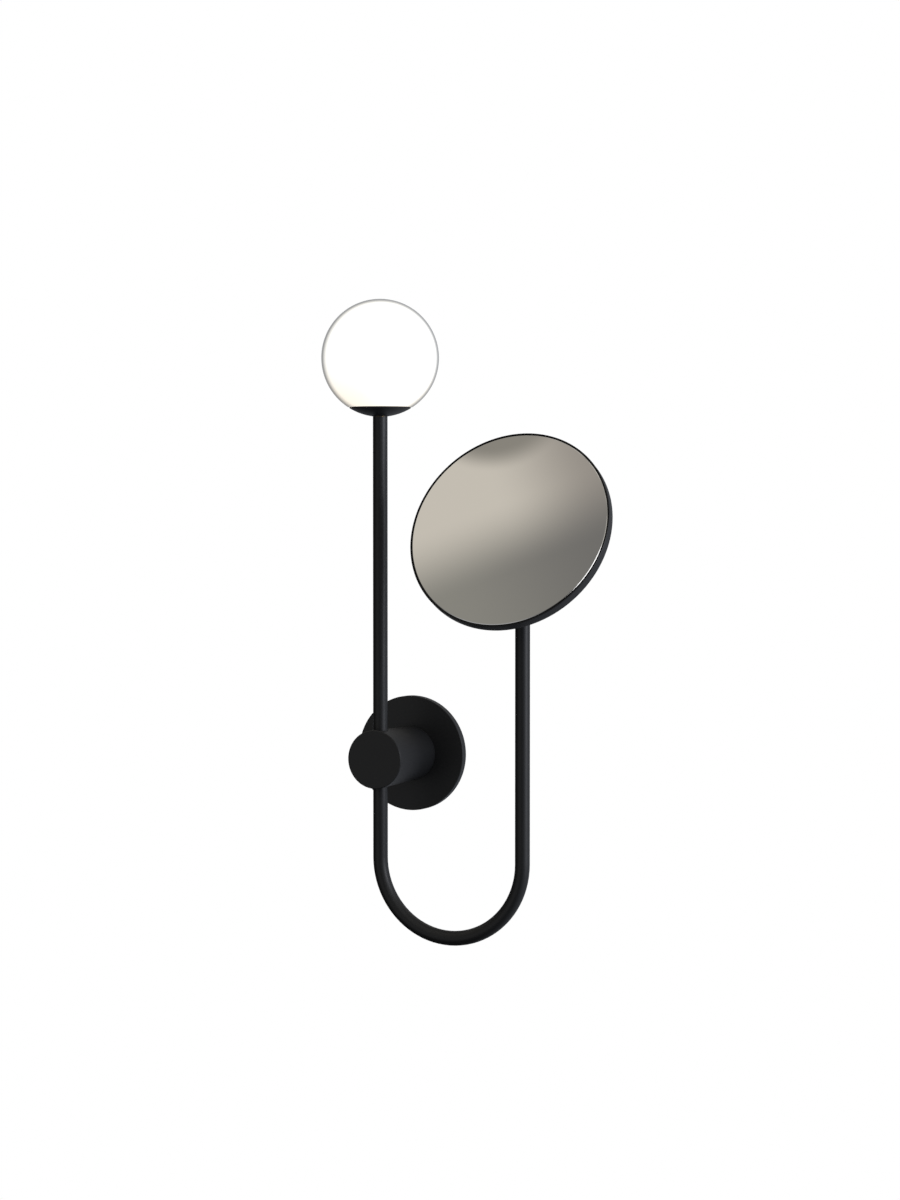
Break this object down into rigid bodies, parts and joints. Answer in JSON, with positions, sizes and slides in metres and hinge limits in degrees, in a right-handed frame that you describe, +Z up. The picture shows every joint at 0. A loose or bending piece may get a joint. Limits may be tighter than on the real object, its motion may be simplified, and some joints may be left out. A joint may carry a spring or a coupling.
{
  "type": "lighted swing-arm shaving mirror",
  "caption": "Wall-mounted shaving mirror on a swinging bent-tube arm that also carries a lit opal globe lamp; the round mirror swivels and tilts.",
  "frame": {"origin": "centre of the wall plate's back, on the wall", "axes": "+Y into the wall, +Z up, +X to the right as seen from the room; the object stands out towards -Y"},
  "size_m": [0.3235, 0.1611, 0.657],
  "materials": {
    "black_paint": "matte",
    "zinc_steel": "satin",
    "black_screws": "satin",
    "brass": "satin",
    "nylon": "matte",
    "black_rubber": "matte",
    "lead_sheath": "matte",
    "holder_ceramic": "gloss",
    "bulb_envelope": "satin",
    "opal_glass": "satin",
    "mirror_foam": "matte",
    "mirror_silver": "polished"
  },
  "bodies": {
    "wall_unit": {"mounting_bracket": "zinc_steel", "wall_gasket": "black_rubber", "wall_plate": "black_paint", "plate_grub_screws": "zinc_steel", "boss_barrel": "black_paint", "boss_fixing_screws": "zinc_steel", "front_cap": "black_paint", "upper_bush": "nylon", "lower_bush": "nylon", "thrust_washer": "brass", "stop_pins": "zinc_steel", "terminal_block": "nylon", "terminal_screw": "zinc_steel", "cable_grommet": "black_rubber", "earth_stud": "brass", "earth_nut": "brass", "supply_lead": "lead_sheath"},
    "arm": {"arm_tube": "black_paint", "stop_collar": "zinc_steel", "collar_grub_screws": "zinc_steel", "retaining_clip": "zinc_steel", "slot_grommet": "black_rubber", "lamp_lead": "lead_sheath", "lamp_nipple": "brass", "lock_washer": "zinc_steel", "nipple_nut": "brass", "lamp_cup": "black_paint", "globe_seal": "black_rubber", "globe_clips": "zinc_steel", "lampholder": "holder_ceramic", "bulb": "bulb_envelope", "bulb_pins": "zinc_steel", "globe": "opal_glass", "end_insert": "brass"},
    "swivel": {"swivel_post": "black_paint", "swivel_washer": "nylon", "swivel_clip": "zinc_steel"},
    "mirror_head": {"tilt_screw": "black_screws", "tilt_nut": "black_screws", "tilt_washers": "nylon", "mirror_bracket": "black_paint", "bracket_screws": "black_screws", "backing_plate": "zinc_steel", "mirror_dish": "black_paint", "mirror_pad": "mirror_foam", "mirror_glass": "mirror_silver"}
  },
  "joints": [
    {"name": "arm_swing", "type": "hinge", "parent": "wall_unit", "child": "arm", "pos_m": [0, -0.08035, 0], "axis": [0, 0, -1], "range_deg": [-10, 190], "deforming": ["supply_lead"]},
    {"name": "mirror_swivel", "type": "hinge", "parent": "arm", "child": "swivel", "pos_m": [0.158, -0.08035, 0.2195], "axis": [0, 0, -1], "continuous": true},
    {"name": "mirror_tilt", "type": "hinge", "parent": "swivel", "child": "mirror_head", "pos_m": [0.158, -0.08035, 0.2195], "axis": [-1, 0, 0], "range_deg": [-35, 35]}
  ]
}
